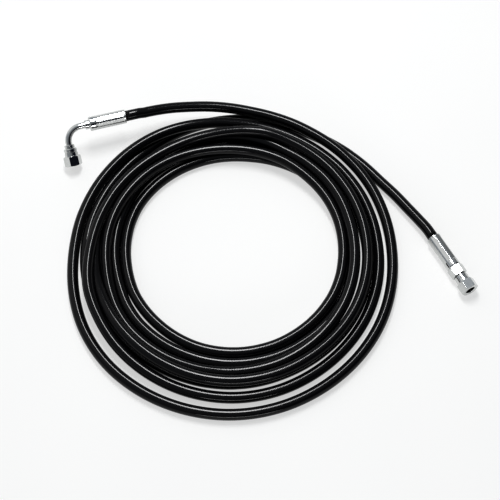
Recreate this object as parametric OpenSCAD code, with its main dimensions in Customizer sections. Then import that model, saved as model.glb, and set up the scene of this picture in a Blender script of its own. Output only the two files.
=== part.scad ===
// Hydraulic hose assembly: a long hose laid in a loose coil on the floor, with a swept 90 degree
// elbow crimped on one end and a straight stem on the other. Both ends carry a swivel nut.
// Millimetres. Z is up, the floor is z = 0, and the origin is on the floor midway between the
// two end fittings.

/* [Hose] */
// Bore of the hose
hose_bore = 6.4; // [5.2:0.1:7.7]
// Thickness of the liner around the bore
liner_wall = 1.5; // [1:0.1:1.8]
// Thickness of the braid around the liner
braid_wall = 0.9; // [0.6:0.1:1.1]
// Thickness of the cover around the braid
cover_wall = 1; // [0.8:0.1:1.6]

/* [Coil] */
// Outside radius of the coil
coil_outer_r = 203; // [165:1:245]
// Radius of the open middle of the coil
coil_hole_r = 126; // [100:1:152]
// Number of hose layers that the coil is high
coil_layers = 2; // [1:1:3]
// Back of the coil beside the elbow's lead, which stays where it is, left and right
coil_back_x = -20; // [-40:1:0]
// Back of the coil, front and back
coil_back_y = 130; // [120:1:140]
// Shift of the open middle inside the coil, left and right
hole_shift_x = 5; // [-10:1:10]
// Shift of the open middle inside the coil, front and back
hole_shift_y = 8; // [-10:1:10]

/* [Ferrules] */
// Length of a ferrule
ferrule_len = 46; // [38:1:56]
// Wall of a ferrule where it is crimped
ferrule_wall = 2.1; // [1.7:0.1:2.6]
// How much the crimp squeezes the hose's diameter
crimp_squeeze = 0.8; // [0.4:0.1:1.2]
// Length of the ferrule's uncrimped shoulder
shoulder_len = 8; // [7:0.5:10]
// How far the shoulder stands out from the crimped flats
shoulder_step = 0.5; // [0:0.1:1]
// Number of flats that the crimping dies leave
crimp_flats = 8; // [6:1:10]
// Depth of the teeth inside the ferrule
tooth_depth = 0.35; // [0.1:0.05:0.4]

/* [Hose tails] */
// Bore through the tails and the swivel heads
tail_bore = 4.4; // [3.6:0.1:4.6]
// Depth of the barbs on a tail
barb_depth = 0.35; // [0.2:0.05:0.4]
// Distance from one barb to the next
barb_pitch = 5; // [4:0.5:7]
// Diameter of the groove that the ferrule's lip closes into
lock_groove_d = 8.8; // [8.2:0.1:9.4]
// Width of that groove
lock_groove_w = 3; // [2:0.5:3.5]
// Diameter of the collar beyond the groove
collar_d = 11.4; // [10.6:0.1:12]

/* [Straight stem] */
// Width of the stem's hexagon across its flats
stem_af = 17; // [15:0.5:19]
// Length of the stem's hexagon
stem_hex_len = 12; // [10:0.5:15]

/* [Elbow] */
// Outside diameter of the bent tube
tube_od = 8; // [7:0.1:8.8]
// Wall of the bent tube
tube_wall = 1.5; // [1:0.1:1.7]
// Bend radius on the tube's middle line
bend_r = 18; // [17:0.5:25]
// Straight tube showing before the bend
tube_straight = 6.5; // [2:0.5:8]
// Straight tube showing after the bend
tube_end = 1.5; // [1:0.5:8]
// How deep the tube sits in its sockets
socket_depth = 3; // [2:0.5:4]
// How far the elbow's collar stands out of its ferrule
collar_show = 5.5; // [2:0.5:6]
// Diameter of the ring behind the elbow's swivel nut
head_ring_d = 12.4; // [11.4:0.1:14]
// Length of that ring
head_ring_len = 4; // [3.5:0.5:6]

/* [Swivel nuts] */
// Width of a nut across its flats
nut_af = 19; // [18:0.5:23]
// Length of a nut
nut_len = 22; // [20:0.5:26]
// Length of a nut's hexagon
nut_hex_len = 12.5; // [11:0.5:13]
// Diameter of the round neck behind the hexagon
nut_neck_d = 16; // [15:0.1:17.5]
// Inside diameter of the nut's thread
thread_minor_d = 11.445; // [11.35:0.005:12]
// Length of the threaded wall
thread_len = 8.4; // [7:0.1:8.8]
// Diameter of the swivel neck that the nut turns on
neck_d = 11; // [10.4:0.1:11.1]
// Length of the swivel neck inside the nut
neck_len = 8.4; // [8:0.1:8.6]
// Thickness of the retaining wire
wire_d = 1.5; // [1:0.1:1.8]
// Thickness of the O-ring
oring_d = 1.2; // [0.8:0.1:1.4]

/* [Clearances] */
// Gap all round between a nut and its swivel neck
neck_gap = 0.05; // [0.02:0.01:0.1]
// Gap between a nut's back and what is behind it
nut_back_gap = 0.5; // [0.4:0.1:1]
// Gap between the retaining wire and its groove in the swivel neck
wire_gap = 0.05; // [0.02:0.01:0.1]
// Gap between the cone's tip and the start of the thread
cone_gap = 0.6; // [0.3:0.1:1]
// Height of the nuts' corners over the floor
floor_gap = 0.2; // [0.1:0.1:1]

/* [Pose] */
// Heading of the elbow's ferrule, counterclockwise from +X
elbow_heading = 197; // [187:1:207]
// Upward slope of the elbow's ferrule
elbow_pitch = 2; // [0:1:6]
// Dip of the elbow's nut below level
elbow_dip = 40; // [25:1:45]
// Heading of the straight fitting, counterclockwise from +X
straight_heading = -62; // [-70:1:-54]
// Turn of the elbow's nut on its neck
elbow_nut_turn = 53; // [0:1:59]
// Turn of the straight fitting's nut on its neck
straight_nut_turn = 35; // [0:1:59]
// Turn of the straight stem's hexagon
stem_turn = 45; // [0:1:59]

/* [Hidden] */

// The hose
bore_r = hose_bore / 2;
liner_r = bore_r + liner_wall;
braid_r = liner_r + braid_wall;
hose_r = braid_r + cover_wall;
hose_od = 2 * hose_r;
crimped_r = hose_r - crimp_squeeze / 2;

// A ferrule and the tail inside it, measured from the ferrule's mouth
crimp_r = crimped_r + ferrule_wall;
shoulder_r = crimp_r + shoulder_step;
shoulder_start = ferrule_len - shoulder_len;
mouth_len = 1.6;
mouth_flare = 0.4;
edge = 0.8;
collar_len = 4;
lock_end = ferrule_len - collar_len;
lock_start = lock_end - lock_groove_w;
stop_len = 1.5;
hose_end = lock_start - stop_len;
stop_r = (collar_d / 2 + braid_r) / 2;
tooth_pitch = 6;
tooth_w = 2;
tail_tip = 3;

// The swivel nut, measured from its back face
corner_r = nut_af / 2 / cos(30);
face_step = 0.2;
nut_face_r = nut_af / 2 - face_step;
nut_bore_r = neck_d / 2 + neck_gap;
thread_r = thread_minor_d / 2;
mouth_chamfer = 0.7;
thread_end = nut_len - mouth_chamfer;
thread_start = thread_end - thread_len;
relief_r = thread_r + 1.15;
hex_start = nut_len - nut_hex_len;
wire_pos = 3.6;
wire_r = wire_d / 2;
wire_ring_r = neck_d / 2 + neck_gap / 2;
neck_groove_pos = 4;
neck_groove_w = 0.8;
neck_groove_depth = 0.5;

// The swivel head's cone, measured from the nut's back face
cone_slope = tan(30);
cone_tip = thread_start - cone_gap;
cone_base_r = neck_d / 2 - 0.2;
cone_tip_r = cone_base_r - (cone_tip - neck_len) * cone_slope;
oring_pos = (neck_len + cone_tip) / 2;
oring_sunk = 0.35;
oring_ring_r = (cone_base_r + cone_tip_r) / 2 - oring_sunk * cos(30);
oring_z = oring_pos - oring_sunk * sin(30);

// The straight fitting
stem_hex_end = ferrule_len + stem_hex_len;
straight_nut_pos = stem_hex_end + nut_back_gap;
straight_len = straight_nut_pos + nut_len;
straight_z = corner_r + floor_gap;
straight_mouth = [201, -48, straight_z];

// The elbow: its tube starts bending after the collar and a straight
collar_end = ferrule_len + collar_show;
bend_start = collar_end + tube_straight;
head_pos = bend_r + tube_end;
elbow_nut_pos = head_ring_len + nut_back_gap;
elbow_roll = 90 - elbow_dip;
tube_r = tube_od / 2;
// Height of the elbow ferrule's mouth, with the nose of its nut standing on the floor
corner_set_back = (corner_r - nut_face_r) * tan(30);
nose_reach = head_pos + elbow_nut_pos + nut_len;
nose_z = corner_r * cos(elbow_dip) - corner_set_back * sin(elbow_dip) + floor_gap;
corner_z = nose_z + nose_reach * sin(elbow_dip) * cos(elbow_pitch);
elbow_z = corner_z - (bend_start + bend_r) * sin(elbow_pitch);
elbow_mouth = [-175, 115, elbow_z];

// The coil
coil_h = coil_layers * hose_od;
coil_back_angle = 84;
coil_x = coil_back_x - coil_outer_r * cos(coil_back_angle);
coil_y = coil_back_y - coil_outer_r * sin(coil_back_angle);
coil_round = hose_r;

// Routes of the two leads between the fittings and the coil, as x, y and height of the hose's
// underside. The first and last points are worked out from the fittings and the coil.
elbow_route = [
    [-145, 125, 26], [-120, 132, 23], [-95, 136, 20], [-70, 138, 18], [-44, 137, 16], [-19, 133, 15],
    [6, 127, 14], [31, 118, 13], [56, 105, 12]
];
straight_route = [[184, -20, 2], [173, -5, 1], [159, 14, 0], [142, 34, 0], [123, 56, 0]];
// Where each lead ends inside the coil, as an angle round it and the height of its underside
elbow_join = [52, 12];
straight_join = [47, 0];
route_sides = 12;

// Direction of a heading and a slope
function heading(turn, slope = 0) = [cos(turn) * cos(slope), sin(turn) * cos(slope), sin(slope)];
// A point just inside the coil's outer edge, at an angle round it and a height
join_depth = 1;
function coil_point(join) =
    [coil_x, coil_y, hose_r + join[1]]
    + (coil_outer_r - hose_r - join_depth) * [cos(join[0]), sin(join[0]), 0];
function lift(points) = [for (p = points) [p[0], p[1], p[2] + hose_r]];

// A tube swept along a route, with a ring at each point and a flat face at each end
function unit(v) = v / norm(v);
function way(points, i, first) =
    i == 0 ? first : unit(points[min(i + 1, len(points) - 1)] - points[i - 1]);
function ring(centre, along, r, sides) =
    let (side = unit(cross(along, [0, 0, 1])), up = cross(side, along))
    [for (k = [0:sides - 1]) centre + r * (cos(360 * k / sides) * side + sin(360 * k / sides) * up)];
module sweep(points, first, r, sides) {
    n = len(points);
    rings = [for (i = [0:n - 1]) each ring(points[i], way(points, i, first), r, sides)];
    walls = [
        for (i = [0:n - 2], k = [0:sides - 1])
            let (a = i * sides + k, b = i * sides + (k + 1) % sides)
            each [[a, b, b + sides], [a, b + sides, a + sides]]
    ];
    ends = [[for (k = [sides - 1:-1:0]) k], [for (k = [0:sides - 1]) (n - 1) * sides + k]];
    polyhedron(points = rings, faces = concat(walls, ends));
}

// Places: the frame of each fitting has its Z along the fitting, from the ferrule's mouth
module at_elbow() {
    translate(elbow_mouth) rotate([0, 90 - elbow_pitch, elbow_heading]) rotate([0, 0, elbow_roll])
        children();
}
module at_elbow_head() {
    at_elbow() translate([head_pos, 0, bend_start + bend_r]) rotate([0, 90, 0]) children();
}
module at_elbow_nut() {
    at_elbow_head() translate([0, 0, elbow_nut_pos]) children();
}
module at_straight() {
    translate(straight_mouth) rotate([0, 90, straight_heading]) children();
}
module at_straight_nut() {
    at_straight() translate([0, 0, straight_nut_pos]) children();
}

// Outlines that two pieces share, as [radius, z] points
tooth_count = floor((hose_end - 2 * tooth_w) / tooth_pitch);
tooth_line = [
    for (i = [1:tooth_count]) let (z = i * tooth_pitch)
        each [
            [crimped_r, z - tooth_w / 2],
            [crimped_r - tooth_depth, z - tooth_w / 4],
            [crimped_r - tooth_depth, z + tooth_w / 4],
            [crimped_r, z + tooth_w / 2]
        ]
];
barb_count = floor((hose_end - tail_tip - 1) / barb_pitch);
barb_line = [
    for (i = [0:barb_count - 1]) let (z = tail_tip + i * barb_pitch)
        each [[bore_r - barb_depth, z], [bore_r, z + barb_pitch - 1], [bore_r, z + barb_pitch - 0.6]]
];
barb_end = tail_tip + barb_count * barb_pitch;

// Sub-parts of a crimped end
module ferrule() {
    color([0.78, 0.79, 0.80]) difference() {
        union() {
            rotate_extrude($fn = 96) polygon([
                [0, 0], [crimp_r + mouth_flare - 0.3, 0], [crimp_r + mouth_flare, 0.3],
                [crimp_r + mouth_flare, mouth_len - 0.4], [crimp_r, mouth_len], [0, mouth_len]
            ]);
            intersection() {
                cylinder(r = crimp_r / cos(180 / crimp_flats), h = shoulder_start, $fn = crimp_flats);
                cylinder(r = crimp_r + 0.35, h = shoulder_start, $fn = 96);
            }
            rotate_extrude($fn = 96) polygon([
                [0, shoulder_start - 1], [crimp_r, shoulder_start - 1], [shoulder_r, shoulder_start],
                [shoulder_r, ferrule_len - 2 * edge], [shoulder_r - edge / 2, ferrule_len - edge / 2],
                [shoulder_r - edge * 1.5, ferrule_len], [0, ferrule_len]
            ]);
        }
        rotate_extrude($fn = 96) polygon(concat(
            [[0, -1], [crimped_r, -1]],
            tooth_line,
            [[crimped_r, lock_start], [lock_groove_d / 2, lock_start], [lock_groove_d / 2, lock_end],
             [collar_d / 2, lock_end], [collar_d / 2, ferrule_len + 1], [0, ferrule_len + 1]]
        ));
    }
}
module cover_end() {
    color([0.05, 0.05, 0.06]) rotate_extrude($fn = 96) polygon(concat(
        [[braid_r, 0], [crimped_r, 0]], tooth_line, [[crimped_r, hose_end], [braid_r, hose_end]]
    ));
}
module braid_end() {
    color([0.82, 0.79, 0.68]) difference() {
        cylinder(r = braid_r, h = hose_end, $fn = 96);
        translate([0, 0, -1]) cylinder(r = liner_r, h = hose_end + 2, $fn = 96);
    }
}
module liner_end() {
    color([0.88, 0.88, 0.84]) rotate_extrude($fn = 96) polygon(concat(
        [[liner_r, hose_end], [liner_r, 0], [bore_r, 0], [bore_r, tail_tip]],
        barb_line,
        [[bore_r - barb_depth, barb_end], [bore_r - barb_depth, hose_end]]
    ));
}
// The outside of a tail from its tip to the end of its lock groove
tail_line = concat(
    [[0, tail_tip]],
    barb_line,
    [[bore_r - barb_depth, barb_end], [bore_r - barb_depth, hose_end], [stop_r, hose_end],
     [stop_r, lock_start], [lock_groove_d / 2, lock_start], [lock_groove_d / 2, lock_end],
     [collar_d / 2, lock_end]]
);

// Sub-parts of a swivel, in the frame of the nut's back face
module swivel_head_shape(from) {
    difference() {
        rotate_extrude($fn = 96) polygon([
            [0, from], [neck_d / 2, from], [neck_d / 2, wire_pos - wire_r - wire_gap],
            [wire_ring_r - wire_r - wire_gap, wire_pos - wire_r - wire_gap],
            [wire_ring_r - wire_r - wire_gap, wire_pos + wire_r + wire_gap],
            [neck_d / 2, wire_pos + wire_r + wire_gap], [neck_d / 2, neck_len],
            [cone_base_r, neck_len], [cone_tip_r, cone_tip], [0, cone_tip]
        ]);
        ring_shape(oring_ring_r, oring_z, oring_d / 2);
    }
}
module ring_shape(ring_r, z, r) {
    translate([0, 0, z]) rotate_extrude($fn = 96) translate([ring_r, 0]) circle(r = r, $fn = 32);
}
module hexagon(af, len, turn) {
    corner = af / 2 / cos(30);
    face_r = af / 2 - face_step;
    outer = corner + 1;
    run = (outer - face_r) * tan(30);
    intersection() {
        rotate([0, 0, turn]) cylinder(r = corner, h = len, $fn = 6);
        rotate_extrude($fn = 96) polygon([
            [0, 0], [face_r, 0], [outer, run], [outer, len - run], [face_r, len], [0, len]
        ]);
    }
}
module nut(turn) {
    neck_r = nut_neck_d / 2;
    groove_r = neck_r - neck_groove_depth;
    color([0.80, 0.81, 0.82]) difference() {
        union() {
            rotate_extrude($fn = 96) polygon([
                [0, 0], [neck_r - edge, 0], [neck_r, edge], [neck_r, neck_groove_pos - 0.3],
                [groove_r, neck_groove_pos], [groove_r, neck_groove_pos + neck_groove_w],
                [neck_r, neck_groove_pos + neck_groove_w + 0.3], [neck_r + 0.4, hex_start],
                [neck_r + 0.4, hex_start + 1], [0, hex_start + 1]
            ]);
            translate([0, 0, hex_start]) hexagon(nut_af, nut_hex_len, turn);
        }
        rotate_extrude($fn = 96) polygon([
            [0, -1], [nut_bore_r, -1], [nut_bore_r, wire_pos - wire_r],
            [wire_ring_r + wire_r, wire_pos - wire_r], [wire_ring_r + wire_r, wire_pos + wire_r],
            [nut_bore_r, wire_pos + wire_r], [nut_bore_r, neck_len], [relief_r, neck_len + 0.6],
            [relief_r, thread_start - 0.6], [thread_r, thread_start], [thread_r, thread_end],
            [thread_r + mouth_chamfer * 1.2, nut_len], [thread_r + mouth_chamfer * 1.2, nut_len + 1],
            [0, nut_len + 1]
        ]);
    }
}
module oring() {
    color([0.08, 0.08, 0.08]) ring_shape(oring_ring_r, oring_z, oring_d / 2);
}
module wire() {
    color([0.62, 0.62, 0.64]) ring_shape(wire_ring_r, wire_pos, wire_r);
}

// The elbow fitting
module elbow_ferrule() {
    at_elbow() ferrule();
}
module elbow_hose_tail() {
    color([0.72, 0.73, 0.75]) at_elbow() difference() {
        rotate_extrude($fn = 96) polygon(concat(
            tail_line,
            [[collar_d / 2, ferrule_len], [collar_d / 2 - 0.6, ferrule_len + 0.3],
             [collar_d / 2 - 0.6, ferrule_len + 0.9], [collar_d / 2, ferrule_len + 1.2],
             [collar_d / 2, collar_end - 0.5], [collar_d / 2 - 0.5, collar_end], [0, collar_end]]
        ));
        cylinder(r = tail_bore / 2, h = collar_end + 1, $fn = 64);
        translate([0, 0, collar_end - socket_depth]) cylinder(r = tube_r, h = socket_depth + 1, $fn = 64);
    }
}
module elbow_liner_end() {
    at_elbow() liner_end();
}
module elbow_braid_end() {
    at_elbow() braid_end();
}
module elbow_cover_end() {
    at_elbow() cover_end();
}
module elbow_tube() {
    color([0.76, 0.77, 0.79]) at_elbow() difference() {
        tube_run(tube_r, 0);
        tube_run(tube_r - tube_wall, 1);
    }
}
module tube_run(r, over) {
    start_len = tube_straight + socket_depth + over;
    end_len = tube_end + socket_depth + over;
    translate([0, 0, bend_start - start_len]) cylinder(r = r, h = start_len, $fn = 64);
    translate([bend_r, 0, bend_start]) rotate([90, 0, 0]) rotate([0, 0, 90])
        rotate_extrude(angle = 90, $fn = 128) translate([bend_r, 0]) circle(r = r, $fn = 64);
    translate([bend_r, 0, bend_start + bend_r]) rotate([0, 90, 0])
        cylinder(r = r, h = end_len, $fn = 64);
}
module elbow_swivel_head() {
    ring_r = head_ring_d / 2;
    color([0.74, 0.75, 0.77]) difference() {
        union() {
            at_elbow_nut() swivel_head_shape(-nut_back_gap - 1);
            at_elbow_head() rotate_extrude($fn = 96) polygon([
                [0, 0], [ring_r - 0.5, 0], [ring_r, 0.5], [ring_r, head_ring_len - 0.3],
                [ring_r - 0.3, head_ring_len], [0, head_ring_len]
            ]);
        }
        at_elbow_head() cylinder(r = tail_bore / 2, h = elbow_nut_pos + cone_tip + 1, $fn = 64);
        at_elbow_head() translate([0, 0, -1]) cylinder(r = tube_r, h = socket_depth + 1, $fn = 64);
    }
}
module elbow_oring() {
    at_elbow_nut() oring();
}
module elbow_nut() {
    at_elbow_nut() nut(elbow_nut_turn);
}
module elbow_nut_wire() {
    at_elbow_nut() wire();
}

// The straight fitting
module straight_ferrule() {
    at_straight() ferrule();
}
module straight_stem() {
    color([0.74, 0.75, 0.77]) at_straight() difference() {
        union() {
            rotate_extrude($fn = 96) polygon(concat(
                tail_line, [[collar_d / 2, ferrule_len + 1], [0, ferrule_len + 1]]
            ));
            translate([0, 0, ferrule_len]) hexagon(stem_af, stem_hex_len, stem_turn);
            translate([0, 0, straight_nut_pos]) swivel_head_shape(-nut_back_gap - 1);
        }
        cylinder(r = tail_bore / 2, h = straight_len, $fn = 64);
    }
}
module straight_liner_end() {
    at_straight() liner_end();
}
module straight_braid_end() {
    at_straight() braid_end();
}
module straight_cover_end() {
    at_straight() cover_end();
}
module straight_oring() {
    at_straight_nut() oring();
}
module straight_nut() {
    at_straight_nut() nut(straight_nut_turn);
}
module straight_nut_wire() {
    at_straight_nut() wire();
}

// The free hose: a lead from each fitting and the coil between them
module hose_lead_elbow() {
    out = -heading(elbow_heading, elbow_pitch);
    points = concat(
        [elbow_mouth, elbow_mouth + 1.2 * hose_od * out], lift(elbow_route), [coil_point(elbow_join)]
    );
    color([0.05, 0.05, 0.06]) sweep(points, out, hose_r, route_sides);
}
module hose_lead_straight() {
    out = -heading(straight_heading);
    points = concat(
        [straight_mouth, straight_mouth + 1.2 * hose_od * out], lift(straight_route),
        [coil_point(straight_join)]
    );
    color([0.05, 0.05, 0.06]) sweep(points, out, hose_r, route_sides);
}
module hose_coil() {
    rim_r = coil_outer_r - coil_round;
    color([0.06, 0.06, 0.07]) translate([coil_x, coil_y, 0]) difference() {
        rotate_extrude($fn = 180) union() {
            square([rim_r, coil_h]);
            translate([rim_r, coil_round]) circle(r = coil_round, $fn = 48);
            translate([rim_r, coil_h - coil_round]) circle(r = coil_round, $fn = 48);
            translate([rim_r, coil_round]) square([coil_round, coil_h - 2 * coil_round]);
        }
        translate([hole_shift_x, hole_shift_y, -1]) cylinder(r = coil_hole_r, h = coil_h + 2, $fn = 180);
    }
}

elbow_ferrule();
elbow_hose_tail();
elbow_liner_end();
elbow_braid_end();
elbow_cover_end();
elbow_tube();
elbow_swivel_head();
elbow_oring();
elbow_nut();
elbow_nut_wire();
straight_ferrule();
straight_stem();
straight_liner_end();
straight_braid_end();
straight_cover_end();
straight_oring();
straight_nut();
straight_nut_wire();
hose_lead_elbow();
hose_coil();
hose_lead_straight();
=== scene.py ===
"""A hydraulic hose assembly: a black hose in a loose coil between two crimped, zinc plated fittings.

The fittings are the CAD model's own pieces with plated steel materials. The hose is one mesh tube
laid here as a hose is laid by hand: a route of seven turns comes down under its own weight, its
turns push each other aside, and it comes to rest on the floor and on itself.
Everything is in metres, in the frame of the CAD model.
"""

import math

import bpy
import numpy as np
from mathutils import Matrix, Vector


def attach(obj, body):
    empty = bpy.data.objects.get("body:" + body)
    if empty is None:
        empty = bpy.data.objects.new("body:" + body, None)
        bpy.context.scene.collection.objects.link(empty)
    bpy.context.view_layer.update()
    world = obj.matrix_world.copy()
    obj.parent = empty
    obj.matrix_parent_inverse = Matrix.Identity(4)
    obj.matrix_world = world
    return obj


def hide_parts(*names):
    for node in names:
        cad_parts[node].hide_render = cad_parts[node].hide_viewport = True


# The hose
HOSE_DIAMETER = 0.0132
HOSE_R = HOSE_DIAMETER / 2
HOSE_SIDES = 24

# The mouths of the two ferrules, where the hose comes out, and the way each one faces
ELBOW_MOUTH = (-0.175, 0.115, 0.0349)
ELBOW_OUT = (0.956, 0.292, -0.035)
STRAIGHT_MOUTH = (0.201, -0.048, 0.0112)
STRAIGHT_OUT = (-0.469, 0.883, 0.0)
MOUTH_STRAIGHT = 0.0158

# Each lead's route: x, y and the height of the hose's underside
ELBOW_ROUTE = [
    (-0.145, 0.125, 0.026), (-0.120, 0.132, 0.023), (-0.095, 0.136, 0.020),
    (-0.070, 0.138, 0.018), (-0.044, 0.137, 0.016), (-0.019, 0.133, 0.015),
    (0.006, 0.127, 0.014), (0.031, 0.118, 0.013), (0.056, 0.105, 0.012),
]
STRAIGHT_ROUTE = [
    (0.184, -0.020, 0.002), (0.173, -0.005, 0.001), (0.159, 0.014, 0.0),
    (0.142, 0.034, 0.0), (0.123, 0.056, 0.0),
]

# The coil: the radius of each turn's middle line at eight bearings, clockwise seen from above.
# The first turn is the one on top, which comes from the elbow. These radii and the middle of the
# coil were worked out by a separate fitting script and not chosen by hand, as report.md says.
COIL_X, COIL_Y = -0.0362, -0.0643
FIRST_BEARING = 45
BEARING_STEP = 45
TURNS = [
    (0.192, 0.187, 0.197, 0.208, 0.206, 0.192, 0.190, 0.184),
    (0.176, 0.170, 0.178, 0.188, 0.184, 0.168, 0.162, 0.159),
    (0.157, 0.156, 0.164, 0.173, 0.171, 0.169, 0.169, 0.158),
    (0.142, 0.140, 0.148, 0.157, 0.158, 0.154, 0.150, 0.141),
    (0.139, 0.135, 0.139, 0.137, 0.133, 0.138, 0.138, 0.139),
    (0.139, 0.137, 0.139, 0.149, 0.152, 0.145, 0.152, 0.153),
    (0.155, 0.158, 0.163, 0.167, 0.169, 0.173, 0.183, 0.194),
]
# Steps from one bearing to the next, and how much finer the curve is drawn before it is spaced out
POINTS_BETWEEN = 3
FINE_STEPS = 4

# How the hose settles: the gap between its points and how many steps it takes
SPACING = 0.006
STEPS = 600
# How far it falls in a step, and the share of the steps at the end over which the fall fades out
FALL = 0.00025
SLOW_DOWN = 0.4
# How firmly each point is drawn back to its route, and how strongly the hose evens out its bends
HOLD_TO_ROUTE = 0.03
STIFF_LENGTH = 0.026
STIFFNESS = 0.3
# How it starts out: each turn this many diameters above the next, and both ends held low
LIFT_TURNS = len(TURNS) + 0.3
LIFT_STEP = 1.08
RAMP_POINTS = 40
LOW_POINTS = 60
HELD_POINTS = 4
# Touching turns: how often and how near they are looked for, and how they push each other away
LOOK_AGAIN = 12
NEAR = 2.2
NEIGHBOURS = 8
PAIRS_AT_ONCE = 300
PUSHES = 3
PUSH_SHARE = 0.315
FACING = 0.8
SMALLEST_GAP = 1e-6

# The fittings' axes, from each nut's back towards its mouth
ELBOW_NUT_AXIS = (0.2025, -0.7391, -0.6424)
STRAIGHT_AXIS = (0.4695, -0.8829, 0.0)
ELBOW_AXIS = (-0.956, -0.292, 0.035)

# Camera and lights
TARGET = Vector((-0.019, -0.058, 0.0))
CAMERA_DISTANCE = 1.42
CAMERA_ELEVATION = 60
LENS = 85
SENSOR_WIDTH = 36

# The studio: a bright side, a dark side, and pale walls all round just above the floor
WORLD_STRENGTH = 0.95
BRIGHT_SIDE = (-0.604, 0.453, 0.655)
SKY = [
    (0.0, (0.012, 0.015, 0.025)),
    (0.2, (0.33, 0.34, 0.35)),
    (0.84, (0.5, 0.53, 0.57)),
    (0.92, (1.0, 1.0, 1.0)),
]
WALLS = (0.9, 0.9, 0.9)
WALLS_TOP, WALLS_FADE = 0.12, 0.25
KEY_PLACE = (-0.1, 0.6, 1.6)
KEY_AIM = (-0.03, -0.05, 0)
KEY_SIZE = (0.28, 0.75)
KEY_POWER = 19
FRONT_PLACE = (0.1, -2.0, 0.42)
FRONT_AIM = (0, 0, 0)
FRONT_SIZE = (1.4, 0.2)
FRONT_POWER = 10
FLOOR_GLOW = 0.62
VIEW_GAMMA = 0.75
FLOOR_HALF = 4.0

# Surface detail
BRAID_CARRIERS = 6
BRAID_PITCH = 0.0036
BRAID_DEPTH = 0.00012
EDGE_ROUND = 0.0003
FERRULE_ROUND = 0.002
BRIGHT, DULL = (0.7, 0.71, 0.7), (0.56, 0.57, 0.57)
GLOSS = (0.1, 0.16)


def between(start, end, start_slope, end_slope, s, h=1.0):
    """The point at share s of a smooth stretch of length h."""
    return (
        (2 * s**3 - 3 * s**2 + 1) * start
        + (s**3 - 2 * s**2 + s) * h * start_slope
        + (3 * s**2 - 2 * s**3) * end
        + (s**3 - s**2) * h * end_slope
    )


def blended(points, spacing):
    """The points of a smooth curve through the given ones, evenly spaced."""
    points = np.array(points, float)
    at = np.r_[0, np.cumsum(np.linalg.norm(np.diff(points, axis=0), axis=1))]
    slope = np.gradient(points, at, axis=0)
    fine = np.linspace(0, at[-1], int(at[-1] / spacing * FINE_STEPS))
    k = np.clip(np.searchsorted(at, fine, side="right") - 1, 0, len(at) - 2)
    h = (at[k + 1] - at[k])[:, None]
    s = (fine - at[k])[:, None] / h
    curve = between(points[k], points[k + 1], slope[k], slope[k + 1], s, h)
    along = np.r_[0, np.cumsum(np.linalg.norm(np.diff(curve, axis=0), axis=1))]
    even = np.linspace(0, along[-1], round(along[-1] / spacing) + 1)
    return np.column_stack([np.interp(even, along, curve[:, c]) for c in range(3)])


def hose_route():
    """The route as it is laid out, with every turn of the coil still on the floor."""
    points = [ELBOW_MOUTH, tuple(np.array(ELBOW_MOUTH) + MOUTH_STRAIGHT * np.array(ELBOW_OUT))]
    points += [(x, y, under + HOSE_R) for x, y, under in ELBOW_ROUTE]
    radii = np.array(sum(TURNS, ()))
    knots = np.arange(len(radii))
    slope = np.gradient(radii)
    for step in range((len(radii) - 1) * POINTS_BETWEEN + 1):
        k = min(step // POINTS_BETWEEN, len(radii) - 2)
        s = step / POINTS_BETWEEN - knots[k]
        radius = between(radii[k], radii[k + 1], slope[k], slope[k + 1], s)
        bearing = math.radians(FIRST_BEARING - BEARING_STEP * step / POINTS_BETWEEN)
        points.append(
            (COIL_X + radius * math.cos(bearing), COIL_Y + radius * math.sin(bearing), HOSE_R)
        )
    points += [(x, y, under + HOSE_R) for x, y, under in reversed(STRAIGHT_ROUTE)]
    points.append(tuple(np.array(STRAIGHT_MOUTH) + MOUTH_STRAIGHT * np.array(STRAIGHT_OUT)))
    points.append(STRAIGHT_MOUTH)
    return blended(points, SPACING)


def evened(offsets, length):
    """The offsets, evened out along the hose as its stiffness does."""
    reach = int(3 * length / SPACING)
    weights = np.exp(-((np.arange(-reach, reach + 1) * SPACING / length) ** 2) / 2)
    weights /= weights.sum()
    padded = np.pad(offsets, ((reach, reach), (0, 0)), mode="edge")
    return np.column_stack([np.convolve(padded[:, c], weights, "valid") for c in range(3)])


def near_pairs(line):
    """Pairs of points of the line that belong to different turns and lie close together."""
    firsts, seconds = [], []
    for start in range(0, len(line), PAIRS_AT_ONCE):
        some = line[start : start + PAIRS_AT_ONCE, None, :2]
        close = ((some - line[None, :, :2]) ** 2).sum(2) < (NEAR * HOSE_DIAMETER) ** 2
        i, j = np.nonzero(close)
        i += start
        keep = j - i > NEIGHBOURS
        firsts.append(i[keep])
        seconds.append(j[keep])
    return np.concatenate(firsts), np.concatenate(seconds)


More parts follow.
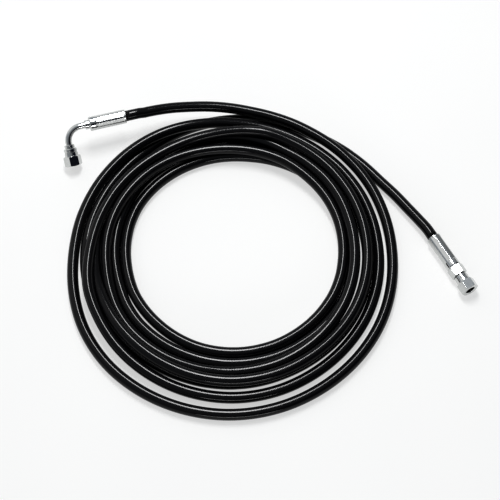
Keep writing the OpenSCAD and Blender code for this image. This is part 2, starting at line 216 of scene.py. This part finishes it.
def settle(route):
    """Lets the hose come down on the floor and on its own turns, the straight end's turns first."""
    count = len(route)
    line = route.copy()
    lift = (1 - np.linspace(0, 1, count)) * LIFT_TURNS * LIFT_STEP * HOSE_DIAMETER
    high = np.maximum(line[:, 2], HOSE_R + lift)
    ramp = np.clip(np.arange(count) / RAMP_POINTS, 0, 1)
    line[:, 2] = ELBOW_MOUTH[2] * (1 - ramp) + high * ramp
    line[-LOW_POINTS:, 2] = route[-LOW_POINTS:, 2]
    held = np.zeros(count, bool)
    held[:HELD_POINTS] = held[-HELD_POINTS:] = True
    line[held] = route[held]
    flat = route.copy()
    flat[:, 2] = HOSE_R
    for step in range(STEPS):
        if step % LOOK_AGAIN == 0:
            i, j = near_pairs(line)
        along = np.gradient(line, axis=0)
        along /= np.linalg.norm(along, axis=1)[:, None]
        left = 1 - step / STEPS
        line[:, 2] -= FALL * min(1, left / SLOW_DOWN)
        line[:, :2] += HOLD_TO_ROUTE * (route[:, :2] - line[:, :2])
        offsets = line - flat
        line += STIFFNESS * (evened(offsets, STIFF_LENGTH) - offsets)
        line[held] = route[held]
        for _ in range(PUSHES):
            way = along[i] + along[j]
            way /= np.linalg.norm(way, axis=1)[:, None]
            apart = line[j] - line[i]
            slid = (apart * way).sum(1)
            across = apart - slid[:, None] * way
            gap = np.linalg.norm(across, axis=1)
            hit = (np.abs(slid) < FACING * SPACING) & (gap < HOSE_DIAMETER)
            share = PUSH_SHARE * (HOSE_DIAMETER - gap[hit]) / np.maximum(gap[hit], SMALLEST_GAP)
            push = share[:, None] * across[hit]
            a, b = i[hit], j[hit]
            hits = np.bincount(a, minlength=count) + np.bincount(b, minlength=count)
            for c in range(3):
                moved = np.bincount(b, push[:, c], count) - np.bincount(a, push[:, c], count)
                line[:, c] += moved / np.maximum(1, hits / 2)
            line[:, 2] = np.maximum(line[:, 2], HOSE_R)
            line[held] = route[held]
    return line


def tube(name, line, radius, sides):
    """A closed tube along a line, with u round it and v the length along it in metres."""
    along = np.gradient(line, axis=0)
    along /= np.linalg.norm(along, axis=1)[:, None]
    side = np.cross(along, (0, 0, 1))
    side /= np.linalg.norm(side, axis=1)[:, None]
    up = np.cross(side, along)
    turn = np.arange(sides) * 2 * math.pi / sides
    ring = np.cos(turn)[None, :, None] * side[:, None] + np.sin(turn)[None, :, None] * up[:, None]
    verts = (line[:, None] + radius * ring).reshape(-1, 3)
    lengths = np.r_[0, np.cumsum(np.linalg.norm(np.diff(line, axis=0), axis=1))]
    faces, uvs = [], []
    for r in range(len(line) - 1):
        for k in range(sides):
            n = (k + 1) % sides
            faces.append((r * sides + k, r * sides + n, (r + 1) * sides + n, (r + 1) * sides + k))
            u0, u1, v0, v1 = k / sides, (k + 1) / sides, lengths[r], lengths[r + 1]
            uvs += [(u0, v0), (u1, v0), (u1, v1), (u0, v1)]
    last = (len(line) - 1) * sides
    faces.append(tuple(range(sides - 1, -1, -1)))
    faces.append(tuple(range(last, last + sides)))
    uvs += [(0, 0)] * (2 * sides)
    mesh = bpy.data.meshes.new(name)
    mesh.from_pydata(verts.tolist(), [], faces)
    layer = mesh.uv_layers.new(name="UVMap")
    layer.data.foreach_set("uv", np.array(uvs, np.float32).ravel())
    mesh.polygons.foreach_set("use_smooth", [True] * len(mesh.polygons))
    mesh.update()
    obj = bpy.data.objects.new(name, mesh)
    bpy.context.scene.collection.objects.link(obj)
    return obj


def node(tree, kind, inputs=None, **settings):
    """Adds a shader node, sets its settings, and links or sets its inputs."""
    made = tree.nodes.new(kind)
    for key, value in settings.items():
        setattr(made, key, value)
    for key, value in (inputs or {}).items():
        if isinstance(value, bpy.types.NodeSocket):
            tree.links.new(value, made.inputs[key])
        else:
            made.inputs[key].default_value = value
    return made


def maths(tree, operation, a, b=0.0):
    """The result of one sum on two numbers or sockets."""
    return node(tree, "ShaderNodeMath", {0: a, 1: b}, operation=operation).outputs[0]


def new_material(name, **values):
    """A material with its principled shader's plain values set, and its tree and shader."""
    made = bpy.data.materials.new(name)
    made.use_nodes = True
    shader = made.node_tree.nodes["Principled BSDF"]
    for key, value in values.items():
        shader.inputs[key.replace("_", " ")].default_value = value
    return made, made.node_tree, shader


def ranged(tree, factor, low, high):
    """A number that runs from low to high as the factor runs from 0 to 1."""
    return node(
        tree, "ShaderNodeMapRange", {"Value": factor, "To Min": low, "To Max": high}
    ).outputs["Result"]


def colours(tree, factor, low, high):
    """A colour that runs between two greys or tints as the factor runs from 0 to 1."""
    ramp = node(tree, "ShaderNodeValToRGB", {"Fac": factor})
    ramp.color_ramp.elements[0].color = (*low, 1)
    ramp.color_ramp.elements[1].color = (*high, 1)
    return ramp.outputs["Color"]


def noise(tree, vector, scale, detail=3.0, roughness=0.5):
    """A cloudy number between 0 and 1 that changes from place to place."""
    return node(
        tree,
        "ShaderNodeTexNoise",
        {"Vector": vector, "Scale": scale, "Detail": detail, "Roughness": roughness},
    ).outputs["Fac"]


def hose_material():
    """Glossy black cover on which the braid beneath shows faintly, in patches."""
    made, tree, shader = new_material("hose_cover", IOR=1.36)
    place = node(tree, "ShaderNodeTexCoord")
    split = node(tree, "ShaderNodeSeparateXYZ", {0: place.outputs["UV"]})
    round_it = maths(tree, "MULTIPLY", split.outputs["X"], BRAID_CARRIERS * 2 * math.pi)
    along = maths(tree, "MULTIPLY", split.outputs["Y"], 2 * math.pi / BRAID_PITCH)
    left = maths(tree, "SINE", maths(tree, "ADD", along, round_it))
    right = maths(tree, "SINE", maths(tree, "SUBTRACT", along, round_it))
    weave = maths(tree, "MULTIPLY", left, right)
    patches = ranged(tree, noise(tree, place.outputs["Object"], 9.0, 2.0), -0.6, 1.6)
    clamp = node(tree, "ShaderNodeClamp", {"Value": patches}).outputs[0]
    print_height = maths(tree, "MULTIPLY", weave, clamp)
    grain = noise(tree, place.outputs["Object"], 900.0, 4.0, 0.6)
    dust = noise(tree, place.outputs["Object"], 60.0, 5.0, 0.65)
    braid_bump = node(
        tree,
        "ShaderNodeBump",
        {"Height": print_height, "Strength": 0.2, "Distance": BRAID_DEPTH},
    )
    bump = node(
        tree,
        "ShaderNodeBump",
        {
            "Height": grain,
            "Strength": 0.25,
            "Distance": 0.00006,
            "Normal": braid_bump.outputs["Normal"],
        },
    )
    tree.links.new(
        colours(tree, dust, (0.002, 0.002, 0.003), (0.007, 0.007, 0.008)),
        shader.inputs["Base Color"],
    )
    tree.links.new(ranged(tree, dust, 0.06, 0.18), shader.inputs["Roughness"])
    tree.links.new(bump.outputs["Normal"], shader.inputs["Normal"])
    return made


def plated_material(name, axis, roughness, marks, mark_size, lengthwise, rounding):
    """Zinc plated steel. Its tool marks run round the axis, or along it where lengthwise."""
    made, tree, shader = new_material(name, Metallic=1.0)
    place = node(tree, "ShaderNodeTexCoord").outputs["Object"]
    along = node(
        tree, "ShaderNodeVectorMath", {0: place, 1: axis}, operation="DOT_PRODUCT"
    ).outputs["Value"]
    if lengthwise:
        slid = node(
            tree, "ShaderNodeVectorMath", {0: axis, "Scale": along}, operation="SCALE"
        ).outputs[0]
        across = node(
            tree, "ShaderNodeVectorMath", {0: place, 1: slid}, operation="SUBTRACT"
        ).outputs[0]
        lines = noise(tree, across, 1 / mark_size, 4.0, 0.6)
    else:
        lines = node(
            tree,
            "ShaderNodeTexNoise",
            {"W": maths(tree, "MULTIPLY", along, 1 / mark_size), "Scale": 1.0, "Detail": 4.0},
            noise_dimensions="1D",
        ).outputs["Fac"]
    blotches = noise(tree, place, 220.0, 5.0, 0.62)
    pits = noise(tree, place, 2600.0, 3.0, 0.7)
    rounded = node(tree, "ShaderNodeBevel", {"Radius": rounding}, samples=6)
    fine = node(
        tree,
        "ShaderNodeBump",
        {
            "Height": lines,
            "Strength": marks,
            "Distance": 0.00008,
            "Normal": rounded.outputs["Normal"],
        },
    )
    bump = node(
        tree,
        "ShaderNodeBump",
        {
            "Height": pits,
            "Strength": 0.06,
            "Distance": 0.00004,
            "Normal": fine.outputs["Normal"],
        },
    )
    tree.links.new(colours(tree, blotches, DULL, BRIGHT), shader.inputs["Base Color"])
    tree.links.new(
        ranged(tree, blotches, roughness[0], roughness[1]), shader.inputs["Roughness"]
    )
    tree.links.new(bump.outputs["Normal"], shader.inputs["Normal"])
    return made


def small_material(name, low, high, scale, roughness, metallic=0.0, bump=0.3):
    """A material for the small pieces: grain in its colour, its gloss and its surface."""
    made, tree, shader = new_material(name, Metallic=metallic)
    place = node(tree, "ShaderNodeTexCoord").outputs["Object"]
    grain = noise(tree, place, scale, 4.0, 0.6)
    height = node(
        tree, "ShaderNodeBump", {"Height": grain, "Strength": bump, "Distance": 0.0001}
    )
    tree.links.new(colours(tree, grain, low, high), shader.inputs["Base Color"])
    tree.links.new(
        ranged(tree, grain, roughness[0], roughness[1]), shader.inputs["Roughness"]
    )
    tree.links.new(height.outputs["Normal"], shader.inputs["Normal"])
    return made


def area_light(name, place, aim, size, power):
    """A rectangular lamp at a place, turned to face a point."""
    data = bpy.data.lights.new(name, "AREA")
    data.shape = "RECTANGLE"
    data.size, data.size_y = size
    data.energy = power
    obj = bpy.data.objects.new(name, data)
    obj.location = place
    obj.rotation_mode = "QUATERNION"
    obj.rotation_quaternion = (Vector(aim) - Vector(place)).to_track_quat("-Z", "Y")
    bpy.context.scene.collection.objects.link(obj)


def make_camera():
    """The camera, looking down at the coil from the front."""
    lift = math.radians(CAMERA_ELEVATION)
    data = bpy.data.cameras.new("camera")
    data.lens = LENS
    data.sensor_width = SENSOR_WIDTH
    obj = bpy.data.objects.new("camera", data)
    back = Vector((0, -math.cos(lift), math.sin(lift)))
    obj.location = TARGET + back * CAMERA_DISTANCE
    obj.rotation_euler = (math.radians(90 - CAMERA_ELEVATION), 0, 0)
    bpy.context.scene.collection.objects.link(obj)
    bpy.context.scene.camera = obj


def make_floor():
    """A pale floor that gives off a little light, which keeps the shadows on it soft."""
    half, z = FLOOR_HALF, 0.0
    mesh = bpy.data.meshes.new("floor")
    mesh.from_pydata(
        [(-half, -half, z), (half, -half, z), (half, half, z), (-half, half, z)], [], [(0, 1, 2, 3)]
    )
    obj = bpy.data.objects.new("floor", mesh)
    bpy.context.scene.collection.objects.link(obj)
    made, tree, shader = new_material("studio_floor")
    place = node(tree, "ShaderNodeTexCoord").outputs["Object"]
    cloud = noise(tree, place, 3.0, 2.0)
    tree.links.new(
        colours(tree, cloud, (0.33, 0.33, 0.33), (0.36, 0.36, 0.355)), shader.inputs["Base Color"]
    )
    shader.inputs["Roughness"].default_value = 0.6
    shader.inputs["Specular IOR Level"].default_value = 0.1
    shader.inputs["Emission Color"].default_value = (1, 1, 0.995, 1)
    shader.inputs["Emission Strength"].default_value = FLOOR_GLOW
    mesh.materials.append(made)


def make_lights():
    """The studio round the hose, a long key light overhead and a low one in front."""
    world = bpy.data.worlds.new("studio")
    world.use_nodes = True
    bpy.context.scene.world = world
    background = world.node_tree.nodes["Background"]
    tree = world.node_tree
    direction = node(tree, "ShaderNodeTexCoord").outputs["Generated"]
    side = node(
        tree, "ShaderNodeVectorMath", {0: direction, 1: BRIGHT_SIDE}, operation="DOT_PRODUCT"
    ).outputs["Value"]
    sky = node(tree, "ShaderNodeValToRGB", {"Fac": side})
    elements = sky.color_ramp.elements
    elements[0].position = SKY[0][0]
    elements[1].position = SKY[-1][0]
    for position, _ in SKY[1:-1]:
        elements.new(position)
    for element, (_, colour) in zip(elements, SKY):
        element.color = (*colour, 1)
    height = node(tree, "ShaderNodeSeparateXYZ", {0: direction}).outputs["Z"]
    above = node(
        tree,
        "ShaderNodeMapRange",
        {"Value": height, "From Min": WALLS_TOP, "From Max": WALLS_FADE},
    ).outputs["Result"]
    mix = node(tree, "ShaderNodeMix", data_type="RGBA")
    tree.links.new(above, mix.inputs["Factor"])
    colour_a = [i for i in mix.inputs if i.type == "RGBA"]
    colour_a[0].default_value = (*WALLS, 1)
    tree.links.new(sky.outputs["Color"], colour_a[1])
    shown = [o for o in mix.outputs if o.type == "RGBA"][0]
    tree.links.new(shown, background.inputs["Color"])
    background.inputs["Strength"].default_value = WORLD_STRENGTH
    area_light("key", KEY_PLACE, KEY_AIM, KEY_SIZE, KEY_POWER)
    area_light("front", FRONT_PLACE, FRONT_AIM, FRONT_SIZE, FRONT_POWER)
    view = bpy.context.scene.view_settings
    view.view_transform = "Standard"
    view.gamma = VIEW_GAMMA


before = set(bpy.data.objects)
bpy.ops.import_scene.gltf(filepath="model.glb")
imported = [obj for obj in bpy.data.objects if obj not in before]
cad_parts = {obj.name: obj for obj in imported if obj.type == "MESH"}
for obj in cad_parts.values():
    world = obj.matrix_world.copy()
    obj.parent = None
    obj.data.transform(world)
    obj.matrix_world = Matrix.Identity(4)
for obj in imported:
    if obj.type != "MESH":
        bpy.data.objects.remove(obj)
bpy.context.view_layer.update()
make_camera()

line = settle(hose_route())
hose = tube("hose", line, HOSE_R, HOSE_SIDES)
hose.data.materials.append(hose_material())
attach(hose, "root")
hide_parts("hose_lead_elbow", "hose_coil", "hose_lead_straight")

materials = {
    "elbow_ferrule": plated_material(
        "plated_ferrule_elbow", ELBOW_AXIS, GLOSS, 0.1, 0.0007, True, FERRULE_ROUND
    ),
    "straight_ferrule": plated_material(
        "plated_ferrule_straight", STRAIGHT_AXIS, GLOSS, 0.1, 0.0007, True, EDGE_ROUND
    ),
    "elbow_hose_tail": plated_material(
        "plated_stem_elbow", ELBOW_AXIS, GLOSS, 0.1, 0.0003, False, EDGE_ROUND
    ),
    "elbow_tube": plated_material(
        "plated_tube", ELBOW_NUT_AXIS, GLOSS, 0.05, 0.002, True, EDGE_ROUND
    ),
    "elbow_swivel_head": plated_material(
        "plated_head_elbow", ELBOW_NUT_AXIS, GLOSS, 0.1, 0.0003, False, EDGE_ROUND
    ),
    "straight_stem": plated_material(
        "plated_stem_straight", STRAIGHT_AXIS, GLOSS, 0.1, 0.0003, False, EDGE_ROUND
    ),
    "elbow_nut": plated_material(
        "plated_nut_elbow", ELBOW_NUT_AXIS, GLOSS, 0.1, 0.0003, False, EDGE_ROUND
    ),
    "straight_nut": plated_material(
        "plated_nut_straight", STRAIGHT_AXIS, GLOSS, 0.1, 0.0003, False, EDGE_ROUND
    ),
}
wire = small_material("spring_wire", (0.42, 0.42, 0.43), (0.62, 0.62, 0.63), 2400, (0.25, 0.4), 1.0)
seal = small_material("seal", (0.012, 0.012, 0.012), (0.03, 0.03, 0.03), 1800, (0.4, 0.6))
liner = small_material("liner", (0.72, 0.71, 0.66), (0.84, 0.83, 0.78), 900, (0.35, 0.5))
braid = small_material("braid", (0.5, 0.46, 0.34), (0.8, 0.76, 0.62), 2200, (0.6, 0.8), 0.0, 0.9)
cover = small_material("cover_end", (0.006, 0.006, 0.007), (0.016, 0.016, 0.017), 900, (0.2, 0.35))
for end in ("elbow", "straight"):
    materials[end + "_nut_wire"] = wire
    materials[end + "_oring"] = seal
    materials[end + "_liner_end"] = liner
    materials[end + "_braid_end"] = braid
    materials[end + "_cover_end"] = cover
for name, made in materials.items():
    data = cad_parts[name].data
    if not data.materials:
        data.materials.append(made)
    for k in range(len(data.materials)):
        data.materials[k] = made

make_floor()
make_lights()
